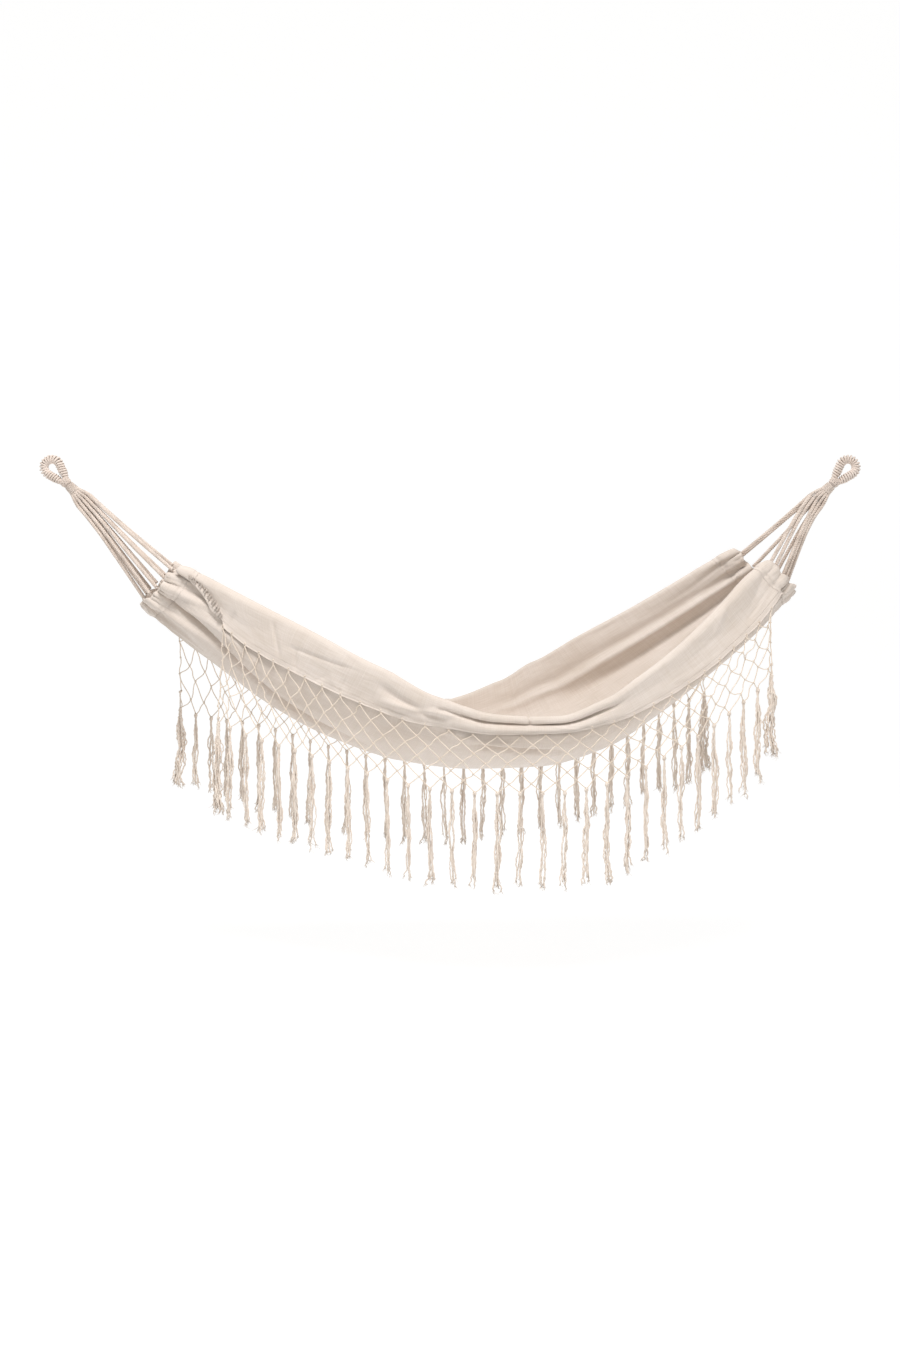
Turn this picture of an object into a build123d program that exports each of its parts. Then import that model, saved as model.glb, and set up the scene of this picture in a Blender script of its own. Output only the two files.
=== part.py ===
from build123d import *
import os
from math import acos, atan2, cos, degrees, hypot, pi, radians, sin

os.makedirs("parts", exist_ok=True)

# Canvas hammock with rope harnesses, millimetres. The origin is the point where the left
# hook bears on its eye, +X runs to the right eye, -Y is the front and +Z is up.

# ---- driving dimensions ----
HOOK_SPAN = 2081.0          # from one hook's bearing point to the other's
EYE_HOLE_R = 9.0            # an eye's hole is a drop, this round at its wide end
CORE_R = 6.0                # laid rope inside the eye
WHIPPING_R = 12.0           # the eye's rope with its whipping on
WHIPPED_SHARE = 0.6         # of each straight arm of an eye
ARM_END = 48.0              # from the middle of an eye's round end to its arms' ends
ARM_GAP = 6.6               # half the distance between the arms' ends
PULL_ANGLE = 42.0           # the eye hangs this far below the horizontal, degrees
FIT_GAP = 0.3               # between pieces of the same body
PIVOT_GAP = 0.6             # between the throat and what swings round it

THROAT_R = 14.0             # ball of turns that closes the eye
THROAT_REACH = 53.0         # from the middle of the eye's round end to the throat's centre
THROAT_ANGLE = 47.8         # direction of the throat from there, below the horizontal
CROWN_ANGLE = 44.8          # direction of the harness below the horizontal
CROWN_LENGTH = 66.0         # from the throat's centre to the crown's wide end
CROWN_NECK = (12.0, 11.0)   # half width and half thickness of the crown at the throat
CROWN_MOUTH = (26.0, 11.0)  # the same at its wide end

CORD_D = 9.0
CLOTH = 3.0                 # canvas with its wrinkles
HEM = 14.0                  # folded end hem round the cords
SKEW = 14.0                 # the cloth hangs with its front pushed towards +X, degrees
FOLD = 12.0                 # half width of the fold along a long edge

TWINE_R = 1.0
TWINE_GAP = 2.6             # between the two layers of strands that are knotted together
NET_COLUMNS = 31
NET_ROWS = 6
NET_SWELL = 0.26            # the mesh is this much wider than average in the middle
NET_DROP = 136.0            # height of the net in the middle of the hammock
NET_SWAY = 18.0             # how far the strands lean towards the middle
NET_START = 4.0             # the first knots sit this far below the cloth's edge

TASSEL_LENGTH = 235.0
TASSEL_R = 6.0
CORNER_LENGTH = 190.0
CORNER_R = 13.0
KNOT_GAP = 2.0              # between a strand's end and the tassel tied to it

# Cross-sections of the cloth from the left hem to the right one: x and z of the lowest
# point, slope in degrees, half width, then the heights above the lowest point of the
# front fold, the front edge, the rear fold and the rear edge.
LEFT_HEM_OUT = (238, -359, -43, 54, 145, 112, 126, 62)
LEFT_HEM_IN = (273, -392, -42, 62, 163, 116, 128, 50)
BED_MIDDLE = [
    (420, -508, -38, 116, 206, 104, 128, 52),
    (560, -606, -32, 162, 231, 120, 130, 64),
    (720, -698, -25, 206, 239, 136, 134, 80),
    (900, -763, -14, 238, 212, 138, 138, 94),
    (1080, -785, -2, 250, 172, 126, 146, 104),
    (1260, -779, 7, 247, 152, 118, 201, 142),
    (1420, -737, 23, 230, 144, 101, 248, 160),
    (1560, -654, 36, 200, 134, 80, 259, 152),
    (1700, -543, 39, 160, 127, 58, 234, 128),
    (1830, -431, 43, 110, 130, 50, 210, 104),
]
RIGHT_HEM_IN = (1892, -365, 47, 78, 118, 46, 188, 92)
RIGHT_HEM_OUT = (1925, -328, 49, 56, 104, 44, 170, 92)
BED = [LEFT_HEM_IN] + BED_MIDDLE + [RIGHT_HEM_IN]

# Each harness cord runs taut from the crown to the hem. The first five of an end lie in
# its front layer, from the cloth's corner to its lowest fold, and the rest lie behind.
LEFT_CORDS = [
    [(105, -5, -79), (152, -10, -122), (244, -30, -201), (331, -49, -271)],
    [(98, -5, -86), (143, -9, -131), (229, -29, -216), (310, -47, -292)],
    [(91, -5, -93), (135, -9, -140), (214, -26, -232), (287, -43, -315)],
    [(83, -5, -100), (126, -8, -149), (200, -20, -244), (268, -33, -332)],
    [(76, -5, -108), (118, -7, -155), (187, -12, -254), (250, -17, -345)],
    [(105, 5, -79), (149, 10, -120), (231, 29, -193), (309, 49, -258)],
    [(98, 5, -86), (139, 9, -128), (217, 27, -208), (290, 46, -279)],
    [(91, 5, -93), (131, 9, -137), (203, 25, -224), (269, 42, -303)],
    [(83, 5, -100), (124, 8, -146), (191, 20, -239), (254, 32, -323)],
    [(76, 5, -108), (116, 6, -154), (183, 11, -251), (244, 17, -340)],
]
RIGHT_CORDS = [
    [(1976, -5, -79), (1948, -10, -114), (1903, -30, -186), (1862, -50, -250)],
    [(1983, -5, -86), (1955, -9, -121), (1912, -28, -195), (1874, -48, -261)],
    [(1990, -5, -93), (1963, -9, -129), (1923, -26, -206), (1888, -43, -275)],
    [(1998, -5, -100), (1971, -8, -138), (1935, -20, -218), (1903, -33, -292)],
    [(2005, -5, -108), (1978, -7, -146), (1944, -11, -230), (1915, -16, -308)],
    [(1976, 5, -79), (1939, 10, -114), (1870, 32, -178), (1806, 54, -234)],
    [(1983, 5, -86), (1947, 10, -122), (1881, 32, -187), (1818, 54, -246)],
    [(1990, 5, -93), (1956, 10, -130), (1898, 30, -201), (1841, 51, -265)],
    [(1998, 5, -100), (1968, 9, -140), (1925, 25, -224), (1888, 41, -302)],
    [(2005, 5, -108), (1977, 7, -148), (1941, 14, -235), (1909, 23, -315)],
]


def save(part, label):
    part.label = label
    export_step(part, f"parts/{label}.step")


# ---- eyes, throats and crowns ----
def below_horizontal(side, angle):
    """Unit vector from a hook towards the bed; side is +1 at the left end."""
    return Vector(side * cos(radians(angle)), 0, -sin(radians(angle)))


def sweep_eye(eye, to_throat, share, radii, mode=Mode.ADD):
    """Rope along an eye, round the hook and down this share of both its arms."""
    across = to_throat.cross(Vector(0, 1, 0))
    loop_r = EYE_HOLE_R + WHIPPING_R
    angle = acos(loop_r / hypot(ARM_END, ARM_GAP)) + atan2(ARM_GAP, ARM_END)
    reach, half_gap = loop_r * cos(angle), loop_r * sin(angle)
    arm = to_throat * (ARM_END - reach) * share
    squeeze = across * (half_gap - ARM_GAP) * share
    upper = eye + to_throat * reach + across * half_gap
    lower = eye + to_throat * reach - across * half_gap
    with BuildLine() as loop:
        Line(upper + arm - squeeze, upper)
        ThreePointArc(upper, eye - to_throat * loop_r, lower)
        Line(lower, lower + arm + squeeze)
    path = loop.wires()[0]
    with BuildSketch(Plane(origin=path @ 0, z_dir=path % 0)) as section:
        Circle(radii[0])
        if len(radii) > 1:
            Circle(radii[1], mode=Mode.SUBTRACT)
    sweep(sections=section.sketch, path=path, mode=mode)


def make_end(name, side, hook):
    """Eye core, whipping, throat seizing and harness crown of one end."""
    eye = hook + below_horizontal(side, PULL_ANGLE) * EYE_HOLE_R
    to_throat = below_horizontal(side, THROAT_ANGLE)
    throat = eye + to_throat * THROAT_REACH

    with BuildPart() as core:
        sweep_eye(eye, to_throat, 1, [CORE_R])
    save(core.part, f"{name}_eye_core")

    with BuildPart() as whipping:
        sweep_eye(eye, to_throat, WHIPPED_SHARE, [WHIPPING_R, CORE_R + FIT_GAP])
    save(whipping.part, f"{name}_eye_whipping")

    with BuildPart() as seizing:
        with Locations(throat):
            Sphere(THROAT_R)
        sweep_eye(eye, to_throat, 1, [CORE_R + FIT_GAP], Mode.SUBTRACT)
    save(seizing.part, f"{name}_throat_seizing")

    to_bed = below_horizontal(side, CROWN_ANGLE)
    neck_reach = THROAT_R + PIVOT_GAP
    neck = Plane(origin=throat + to_bed * neck_reach, x_dir=(0, 1, 0), z_dir=to_bed)
    mouth = Plane(origin=throat + to_bed * CROWN_LENGTH, x_dir=(0, 1, 0), z_dir=to_bed)
    with BuildPart() as crown:
        with BuildSketch(neck):
            Ellipse(CROWN_NECK[1], CROWN_NECK[0])
        with BuildSketch(mouth):
            Ellipse(CROWN_MOUTH[1], CROWN_MOUTH[0])
        loft()
    save(crown.part, f"{name}_harness_crown")
    return throat


# ---- harness cords ----
def corner_radii(points):
    """As large an arc at each inner point of a route as its two runs allow."""
    radii = []
    for before, here, after in zip(points, points[1:], points[2:]):
        run_in, run_out = here - before, after - here
        half_turn = radians(run_in.get_angle(run_out)) / 2
        radii.append(0.45 * min(run_in.length, run_out.length) * cos(half_turn) / sin(half_turn))
    return radii


def make_cord(name, route):
    points = [Vector(*p) for p in route]
    radii = corner_radii(points)
    with BuildPart() as cord:
        with BuildLine() as path:
            FilletPolyline(*points, radius=radii)
        with BuildSketch(Plane(origin=points[0], z_dir=points[1] - points[0])):
            Circle(CORD_D / 2)
        sweep()
    length = path.wires()[0].length
    fill = cord.part.volume / (pi * CORD_D ** 2 / 4 * length)
    print(f"{name}: {length:.0f} mm, radii {[round(r) for r in radii]}, volume ratio {fill:.3f}")
    save(cord.part, name)


# ---- cloth ----
def section_plane(row):
    """Plane across the cloth: local x runs to the rear, local y away from the floor."""
    x, z, slope = row[:3]
    along = Vector(cos(radians(slope)), 0, sin(radians(slope)))
    rear = Vector(0, 1, 0)
    x_dir = rear * cos(radians(SKEW)) - along * sin(radians(SKEW))
    z_dir = along * cos(radians(SKEW)) + rear * sin(radians(SKEW))
    return Plane(origin=(x, 0, z), x_dir=x_dir, z_dir=z_dir)


def draw_side(side, half, top, edge, lift, folded):
    """One face of one side of the cloth in cross-section, moved off its middle by lift:
    a quarter ellipse up from the lowest point, then the fold and the flap outside it.
    Returns the point where the side ends."""
    springing = top - FOLD
    inside, outside = half - FOLD - lift, half + FOLD + lift
    wall_start = 180 if side < 0 else 270
    EllipticalCenterArc((0, springing), inside, springing - lift, wall_start, arc_size=90)
    if not folded:
        return Vector(side * inside, springing)
    ThreePointArc(
        (side * inside, springing), (side * half, top + lift), (side * outside, springing)
    )
    Line((side * outside, springing), (side * outside, edge))
    return Vector(side * outside, edge)


def draw_section(row, thickness, folded):
    """The closed outline of the cloth in cross-section."""
    half, front, front_edge, rear, rear_edge = row[3:]
    for side, top, edge in ((-1, front, front_edge), (1, rear, rear_edge)):
        upper_end = draw_side(side, half, top, edge, thickness / 2, folded)
        lower_end = draw_side(side, half, top, edge, -thickness / 2, folded)
        Line(upper_end, lower_end)


def make_cloth(name, rows, thickness, folded, end_gap):
    """A trough of cloth lofted through its cross-sections."""
    planes = [section_plane(row) for row in rows]
    planes[0] = planes[0].offset(end_gap)
    planes[-1] = planes[-1].offset(-end_gap)
    with BuildPart() as cloth:
        for plane, row in zip(planes, rows):
            with BuildSketch(plane):
                with BuildLine():
                    draw_section(row, thickness, folded)
                make_face()
        loft(ruled=True)
    save(cloth.part, name)


# ---- nets and tassels ----
def free_edge(row, side):
    """Where a cross-section's free edge lies; side is -1 at the front, +1 at the rear."""
    half, front_edge, rear_edge = row[3], row[5], row[7]
    height = front_edge if side < 0 else rear_edge
    return section_plane(row).from_local_coords(Vector(side * (half + FOLD), height))


def point_on_edge(x, side):
    """The point of a long edge at this x."""
    corners = [free_edge(row, side) for row in BED]
    for a, b in zip(corners, corners[1:]):
        if x <= b.X:
            return a + (b - a) * ((x - a.X) / (b.X - a.X))
    return corners[-1]


def net_knot(net, column, row):
    """Place of a knot: columns run from left to right, rows from the cloth downwards."""
    side, x_left, x_right, end_drops = net
    t = 2 * column / (NET_COLUMNS - 1) - 1
    warped = t + NET_SWELL * sin(pi * t) / pi
    top = point_on_edge((x_left + x_right) / 2 + warped * (x_right - x_left) / 2, side)
    end_drop = end_drops[0] if t < 0 else end_drops[1]
    drop = NET_DROP + (end_drop - NET_DROP) * abs(t) ** 1.3
    down = row / NET_ROWS
    return top + Vector(-NET_SWAY * sin(pi * t) * down, 0, -NET_START - drop * down)


def strand(net, column, lean, layer):
    """Zigzag route of one strand; lean is the half column that it swings to."""
    offset = Vector(0, layer * TWINE_GAP / 2, 0)
    if lean == 0:
        return [net_knot(net, column, row) + offset for row in (0, NET_ROWS)]
    return [
        net_knot(net, column + (lean if row % 2 else 0), row) + offset
        for row in range(NET_ROWS + 1)
    ]


def make_net(name, net):
    """Two layers of zigzag strands, side by side where the twine is knotted."""
    last = NET_COLUMNS - 1
    with BuildPart() as mesh:
        for column in range(NET_COLUMNS):
            for lean, layer, border in ((0.5, -1, last), (-0.5, 1, 0)):
                route = strand(net, column, 0 if column == border else lean, layer)
                with BuildLine():
                    Polyline(*route)
                with BuildSketch(Plane(origin=route[0], z_dir=route[1] - route[0])):
                    Circle(TWINE_R)
                sweep(transition=Transition.RIGHT, mode=Mode.ADD, clean=False)
    save(mesh.part, name)


def make_tassel(length, radius):
    """A hanging tassel with its knot at the origin."""
    with BuildPart() as tassel:
        with BuildSketch(Plane.XZ):
            with BuildLine():
                Polyline(
                    (0, -KNOT_GAP),
                    (0.5 * radius, -KNOT_GAP),
                    (0.8 * radius, -KNOT_GAP - 0.6 * radius),
                    (0.5 * radius, -KNOT_GAP - 2 * radius),
                    (0.9 * radius, -0.3 * length),
                    (radius, -length),
                    (0, -length),
                    close=True,
                )
            make_face()
        revolve(axis=Axis.Z)
    return tassel.part


def make_tassels(name, net):
    """One tassel below every bottom knot except the two at the net's ends."""
    places = [net_knot(net, column, NET_ROWS) for column in range(1, NET_COLUMNS - 1)]
    with BuildPart() as tassels:
        with Locations(*places):
            add(make_tassel(TASSEL_LENGTH, TASSEL_R))
    save(tassels.part, name)


def make_corner_tassel(name, net, column):
    place = net_knot(net, column, NET_ROWS)
    with BuildPart() as tassel:
        with Locations(place):
            add(make_tassel(CORNER_LENGTH, CORNER_R))
    print(f"{name} hangs from {place.X:.1f}, {place.Y:.1f}, {place.Z:.1f}")
    save(tassel.part, name)


# ---- the whole hammock ----
# A net: its side, the x of its two ends, and its height at the left and right ends.
FRONT_NET = (-1, 458.0, 1850.0, (236.0, 162.0))
REAR_NET = (1, 322.0, 1725.0, (228.0, 222.0))

left_throat = make_end("left", 1, Vector(0, 0, 0))
right_throat = make_end("right", -1, Vector(HOOK_SPAN, 0, 0))
print(f"the sling swings about the line through {left_throat} and {right_throat}")

for end, routes in (("left", LEFT_CORDS), ("right", RIGHT_CORDS)):
    for number, route in enumerate(routes, start=1):
        make_cord(f"{end}_harness_cord_{number}", route)

make_cloth("left_end_hem", [LEFT_HEM_OUT, LEFT_HEM_IN], HEM, False, 0)
make_cloth("right_end_hem", [RIGHT_HEM_IN, RIGHT_HEM_OUT], HEM, False, 0)
make_cloth("bed_cloth", BED, CLOTH, True, FIT_GAP)

for side_name, net in (("front", FRONT_NET), ("rear", REAR_NET)):
    make_net(f"{side_name}_net", net)
    make_tassels(f"{side_name}_tassels", net)
    make_corner_tassel(f"{side_name}_left_corner_tassel", net, 0)
    make_corner_tassel(f"{side_name}_right_corner_tassel", net, NET_COLUMNS - 1)
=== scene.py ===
import math

import bpy
import numpy as np
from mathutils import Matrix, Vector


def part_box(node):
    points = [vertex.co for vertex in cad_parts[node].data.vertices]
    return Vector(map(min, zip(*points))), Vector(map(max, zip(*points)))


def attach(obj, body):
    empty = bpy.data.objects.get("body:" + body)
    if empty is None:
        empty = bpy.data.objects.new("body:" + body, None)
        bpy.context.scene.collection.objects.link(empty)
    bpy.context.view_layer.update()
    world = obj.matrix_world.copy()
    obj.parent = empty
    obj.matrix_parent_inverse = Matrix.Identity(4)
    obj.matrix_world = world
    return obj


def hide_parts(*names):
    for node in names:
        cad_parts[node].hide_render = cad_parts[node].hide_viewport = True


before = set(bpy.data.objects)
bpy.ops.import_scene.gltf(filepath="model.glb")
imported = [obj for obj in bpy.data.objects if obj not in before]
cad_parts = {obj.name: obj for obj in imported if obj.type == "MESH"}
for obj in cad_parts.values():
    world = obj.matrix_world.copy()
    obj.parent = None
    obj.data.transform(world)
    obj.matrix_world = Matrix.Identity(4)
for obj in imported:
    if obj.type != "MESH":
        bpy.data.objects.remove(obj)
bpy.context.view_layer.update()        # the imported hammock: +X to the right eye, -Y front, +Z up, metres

SEED = 20

# ---------------------------------------------------------------- camera, light and stage
CAMERA_DISTANCE = 3.3       # in front of the line between the eyes
CAMERA_DROP = 0.195         # below the hook points
FOCAL_LENGTH = 33.9         # on a 36 mm long side
SHIFT_Y = -0.0997           # the horizon lies above the middle of the picture
FLOOR_Z = -1.34

eye_boxes = [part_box("left_eye_whipping"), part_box("right_eye_whipping")]
MIDDLE_X = (eye_boxes[0][0][0] + eye_boxes[1][1][0]) / 2


def add_camera():
    data = bpy.data.cameras.new("camera")
    data.lens = FOCAL_LENGTH
    data.sensor_width = 36.0
    data.shift_y = SHIFT_Y
    camera = bpy.data.objects.new("camera", data)
    camera.location = (MIDDLE_X, -CAMERA_DISTANCE, -CAMERA_DROP)
    camera.rotation_euler = (math.radians(90), 0, 0)
    bpy.context.scene.collection.objects.link(camera)
    bpy.context.scene.camera = camera


def add_area_light(name, place, target, size, power, colour):
    """A round soft light at a place, turned towards its target."""
    data = bpy.data.lights.new(name, "AREA")
    data.shape = "DISK"
    data.size = size
    data.energy = power
    data.color = colour
    light = bpy.data.objects.new(name, data)
    light.location = place
    direction = np.array(target) - np.array(place)
    yaw = math.atan2(direction[0], -direction[1])
    pitch = math.atan2(math.hypot(direction[0], direction[1]), -direction[2])
    light.rotation_euler = (pitch, 0, yaw)
    bpy.context.scene.collection.objects.link(light)


def add_stage():
    """Soft studio light, and a pale floor that rises to a wall."""
    scene = bpy.context.scene
    scene.view_settings.view_transform = "Standard"
    world = bpy.data.worlds.new("studio")
    world.use_nodes = True
    world.node_tree.nodes["Background"].inputs["Color"].default_value = (1.0, 0.985, 0.950, 1.0)
    world.node_tree.nodes["Background"].inputs["Strength"].default_value = 0.50
    scene.world = world
    target = (MIDDLE_X, 0.0, -0.6)
    add_area_light("key", (1.2, -2.0, 3.1), target, 1.5, 134.0, (1.0, 0.985, 0.99))
    add_area_light("fill", (MIDDLE_X, -3.4, -0.7), (MIDDLE_X, 0.0, -0.9), 2.0, 16.0, (1.0, 1.0, 1.0))
    add_area_light("top", (0.7, -1.4, 2.6), (1.6, 0.0, -0.4), 1.5, 84.0, (1.0, 0.985, 0.985))

    # One pale sheet: the floor, and behind the hammock a gentle rise to a wall.
    profile = [(-9.0, FLOOR_Z), (2.2, FLOOR_Z)]
    for k in range(1, 13):
        angle = math.radians(90 * k / 12)
        profile.append((2.2 + 1.5 * math.sin(angle), FLOOR_Z + 1.5 * (1 - math.cos(angle))))
    profile.append((3.7, 6.0))
    vertices, faces = [], []
    for x in (MIDDLE_X - 9.0, MIDDLE_X + 9.0):
        vertices += [(x, y, z) for y, z in profile]
    count = len(profile)
    for k in range(count - 1):
        faces.append((k, k + count, k + 1 + count, k + 1))
    mesh = bpy.data.meshes.new("floor")
    mesh.from_pydata(vertices, [], faces)
    mesh.polygons.foreach_set("use_smooth", [True] * len(faces))
    floor = bpy.data.objects.new("floor", mesh)
    scene.collection.objects.link(floor)
    material = bpy.data.materials.new("pale_paper")
    material.use_nodes = True
    shader = material.node_tree.nodes["Principled BSDF"]
    shader.inputs["Base Color"].default_value = (0.3, 0.3, 0.3, 1)
    shader.inputs["Roughness"].default_value = 1.0
    shader.inputs["Specular IOR Level"].default_value = 0.0
    shader.inputs["Emission Color"].default_value = (1, 1, 1, 1)
    shader.inputs["Emission Strength"].default_value = 0.80
    mesh.materials.append(material)


# ---------------------------------------------------------------- mesh helpers
class Mesh:
    """Gathers vertices, quads and UVs of a piece that has many parts."""

    def __init__(self):
        self.vertices, self.faces, self.uvs, self.count = [], [], [], 0

    def grid(self, points, uv, closed_across=False, cap=False):
        """A grid of points, rows along and columns across, with one UV for each point."""
        rows, columns = points.shape[:2]
        index = self.count + np.arange(rows * columns).reshape(rows, columns)
        flat_uv = uv.reshape(-1, 2)
        last = columns if closed_across else columns - 1
        for j in range(last):
            k = (j + 1) % columns
            quads = np.stack([index[:-1, j], index[:-1, k], index[1:, k], index[1:, j]], axis=1)
            self.faces.extend(map(tuple, quads))
        if cap:
            self.faces.append(tuple(index[0, ::-1]))
            self.faces.append(tuple(index[-1]))
        self.vertices.append(points.reshape(-1, 3))
        self.uvs.append(flat_uv)
        self.count += rows * columns
        return index

    def build(self, name, material):
        mesh = bpy.data.meshes.new(name)
        vertices = np.concatenate(self.vertices)
        mesh.from_pydata(vertices.tolist(), [], [tuple(map(int, f)) for f in self.faces])
        uv_layer = mesh.uv_layers.new(name="UVMap")
        loop_vertices = np.empty(len(mesh.loops), dtype=np.int32)
        mesh.loops.foreach_get("vertex_index", loop_vertices)
        uvs = np.concatenate(self.uvs)[loop_vertices]
        uv_layer.data.foreach_set("uv", uvs.astype(np.float32).ravel())
        mesh.polygons.foreach_set("use_smooth", [True] * len(mesh.polygons))
        mesh.materials.append(material)
        mesh.validate()
        mesh.update()
        piece = bpy.data.objects.new(name, mesh)
        bpy.context.scene.collection.objects.link(piece)
        return piece


def unit(v):
    """Vectors of length one."""
    return v / np.maximum(np.linalg.norm(v, axis=-1, keepdims=True), 1e-12)


def frames_along(path):
    """Tangent and two normals at each point, turned as little as possible."""
    tangent = unit(np.gradient(path, axis=0))
    start = np.array([0.0, 1.0, 0.0]) if abs(tangent[0][1]) < 0.9 else np.array([1.0, 0.0, 0.0])
    normals = np.empty_like(path)
    normal = unit(start - tangent[0] * start.dot(tangent[0]))
    for i, t in enumerate(tangent):
        normal = unit(normal - t * normal.dot(t))
        normals[i] = normal
    return tangent, normals, np.cross(tangent, normals)


def lengths_along(path):
    """How far along a line each of its points lies."""
    steps = np.linalg.norm(np.diff(path, axis=0), axis=1)
    return np.concatenate([[0.0], np.cumsum(steps)])


def read_along(places, along, values):
    """Points or directions given along a line, read at other places along it."""
    return np.stack([np.interp(places, along, values[:, k]) for k in range(3)], axis=1)


def resampled(path, step):
    """The same line with points about this far apart."""
    along = lengths_along(path)
    count = max(4, int(round(along[-1] / step)) + 1)
    places = np.linspace(0, along[-1], count)
    return read_along(places, along, path)


def add_tube(mesh, path, radius, sides=8):
    """A round tube along a line; radius is a number or one for each point."""
    radius = np.broadcast_to(np.asarray(radius, dtype=float), (len(path),))
    _, side, up = frames_along(path)
    angle = np.linspace(0, 2 * math.pi, sides, endpoint=False)
    ring = side[:, None] * np.cos(angle)[None, :, None] + up[:, None] * np.sin(angle)[None, :, None]
    points = path[:, None] + ring * radius[:, None, None]
    along = lengths_along(path)
    uv = np.stack(np.broadcast_arrays(angle[None] / (2 * math.pi), along[:, None]), axis=-1)
    mesh.grid(points, uv, closed_across=True, cap=True)


def add_rope(mesh, path, diameter, lay, strands=3, phase=0.0, sides=8):
    """Twisted strands along a line; lay is the length of one full turn."""
    path = resampled(path, diameter * 0.3)
    _, side, up = frames_along(path)
    along = lengths_along(path)
    reach, radius = 0.32 * diameter, 0.28 * diameter
    if strands == 2:
        reach, radius = 0.25 * diameter, 0.26 * diameter
    for k in range(strands):
        turn = phase + 2 * math.pi * (along / lay + k / strands)
        offset = side * np.cos(turn)[:, None] + up * np.sin(turn)[:, None]
        add_tube(mesh, path + offset * reach, radius, sides)


def smooth_between(knots, values, x):
    """A smooth curve through the values at the knots, without overshooting them."""
    knots, values, x = np.asarray(knots, float), np.asarray(values, float), np.asarray(x, float)
    gaps, slopes = np.diff(knots), np.diff(values) / np.diff(knots)
    bends = np.zeros(len(knots))
    bends[0], bends[-1] = slopes[0], slopes[-1]
    for i in range(1, len(knots) - 1):
        if slopes[i - 1] * slopes[i] > 0:
            w1, w2 = 2 * gaps[i] + gaps[i - 1], gaps[i] + 2 * gaps[i - 1]
            bends[i] = (w1 + w2) / (w1 / slopes[i - 1] + w2 / slopes[i])
    i = np.clip(np.searchsorted(knots, x) - 1, 0, len(gaps) - 1)
    h = gaps[i]
    t = (x - knots[i]) / h
    return (
        (1 + 2 * t) * (1 - t) ** 2 * values[i]
        + t * (1 - t) ** 2 * h * bends[i]
        + t ** 2 * (3 - 2 * t) * values[i + 1]
        + t ** 2 * (t - 1) * h * bends[i + 1]
    )


def bump(x, centre, width):
    """A soft hill of height one."""
    return np.exp(-(((x - centre) / width) ** 2))


def ramp(x, start, end):
    """Rises smoothly from 0 at start to 1 at end."""
    t = np.clip((x - start) / (end - start), 0, 1)
    return t * t * (3 - 2 * t)


# ---------------------------------------------------------------- materials
def srgb(r, g, b):
    """Linear colour of a screen colour given as 0 to 255."""
    out = []
    for c in (r, g, b):
        c = c / 255
        out.append(c / 12.92 if c <= 0.04045 else ((c + 0.055) / 1.055) ** 2.4)
    return (*out, 1.0)


class Nodes:
    """Short way to write a material's node tree."""

    def __init__(self, name):
        self.material = bpy.data.materials.new(name)
        self.material.use_nodes = True
        self.tree = self.material.node_tree
        self.shader = self.tree.nodes["Principled BSDF"]

    def add(self, kind, inputs=(), **settings):
        node = self.tree.nodes.new(kind)
        for key, value in settings.items():
            setattr(node, key, value)
        for key, value in dict(inputs).items():
            if isinstance(value, bpy.types.NodeSocket):
                self.tree.links.new(value, node.inputs[key])
            else:
                node.inputs[key].default_value = value
        return node

    def math(self, operation, a, b=0.0):
        return self.add("ShaderNodeMath", {0: a, 1: b}, operation=operation).outputs[0]

    def noise(self, vector, scale, detail=3.0):
        inputs = {"Vector": vector, "Scale": scale, "Detail": detail}
        return self.add("ShaderNodeTexNoise", inputs).outputs["Fac"]

    def mix(self, factor, dark, light):
        inputs = {0: factor, 6: dark, 7: light}
        return self.add("ShaderNodeMix", inputs, data_type="RGBA").outputs[2]

    def range(self, value, low, high, to_low, to_high):
        inputs = {0: value, 1: low, 2: high, 3: to_low, 4: to_high}
        return self.add("ShaderNodeMapRange", inputs).outputs[0]

    def finish(self, colour, roughness, height, distance, sheen=0.25):
        bump_inputs = {"Height": height, "Distance": distance, "Strength": 0.8}
        normal = self.add("ShaderNodeBump", bump_inputs).outputs["Normal"]
        self.tree.links.new(colour, self.shader.inputs["Base Color"])
        self.tree.links.new(roughness, self.shader.inputs["Roughness"])
        self.tree.links.new(normal, self.shader.inputs["Normal"])
        self.shader.inputs["Sheen Weight"].default_value = sheen
        self.shader.inputs["Sheen Roughness"].default_value = 0.6
        self.shader.inputs["Specular IOR Level"].default_value = 0.25
        return self.material


THREADS_PER_METRE = 900.0


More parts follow.
